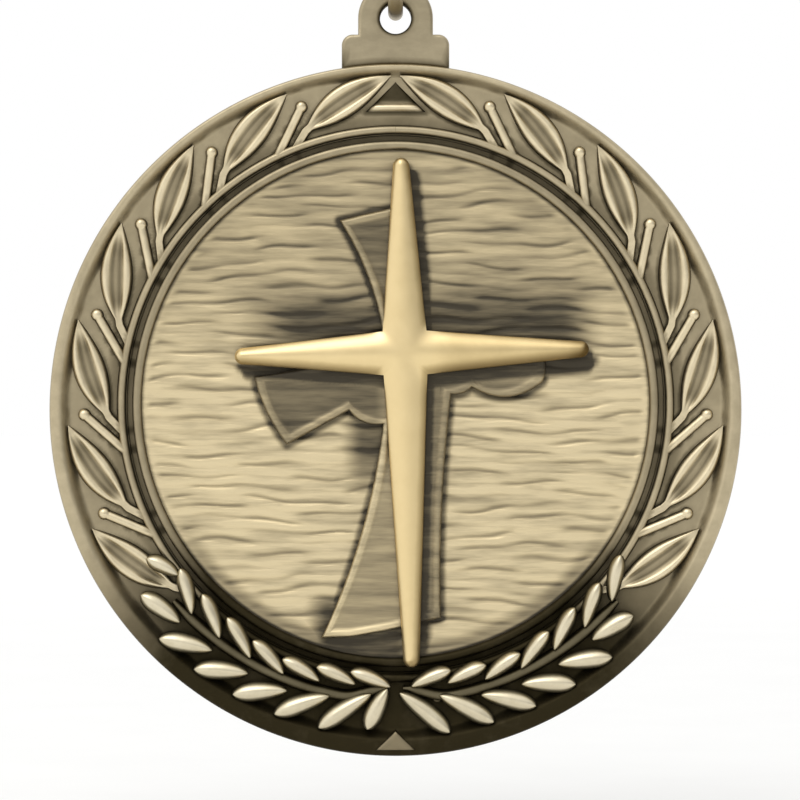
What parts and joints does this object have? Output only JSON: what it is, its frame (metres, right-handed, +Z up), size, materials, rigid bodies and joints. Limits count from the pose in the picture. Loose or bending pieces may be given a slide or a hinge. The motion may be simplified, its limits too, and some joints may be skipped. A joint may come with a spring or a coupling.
{
  "type": "award medal",
  "caption": "Round antique-brass award medal with a laurel border, a low flared cross under a bright narrow cross, and laurel sprays, hanging from a split ring.",
  "frame": {"origin": "inside top of the split ring, where a ribbon bears; the medal hangs below it", "axes": "+Z up as worn, face towards -Y, +X to the right of someone who looks at the face"},
  "size_m": [0.0508, 0.0102, 0.0643],
  "materials": {
    "antique_brass": "antiqued, dark in the hollows",
    "grained_brass": "grained in level wavy lines, antiqued",
    "bright_brass": "polished gold-coloured brass",
    "pale_brass": "relieved bright on the crests",
    "lug_brass": "satin"
  },
  "bodies": {
    "ring": {"jump_ring": "lug_brass"},
    "medal": {"suspension_lug": "lug_brass", "medal_body": "antique_brass", "field_disc": "grained_brass", "bezel_ring": "antique_brass", "flared_cross": "grained_brass", "bright_cross": "bright_brass", "left_border_wreath": "antique_brass", "right_border_wreath": "antique_brass", "wreath_keystone": "antique_brass", "left_laurel_spray": "pale_brass", "right_laurel_spray": "pale_brass", "cross_rivet_upper": "antique_brass", "cross_rivet_lower": "antique_brass", "left_spray_rivet_root": "antique_brass", "left_spray_rivet_tip": "antique_brass", "right_spray_rivet_root": "antique_brass", "right_spray_rivet_tip": "antique_brass"}
  },
  "joints": [
    {"name": "medal_swing", "type": "hinge", "parent": "ring", "child": "medal", "pos_m": [0, 0, -0.00855], "axis": [0, 1, 0], "range_deg": [-75, 75]}
  ]
}
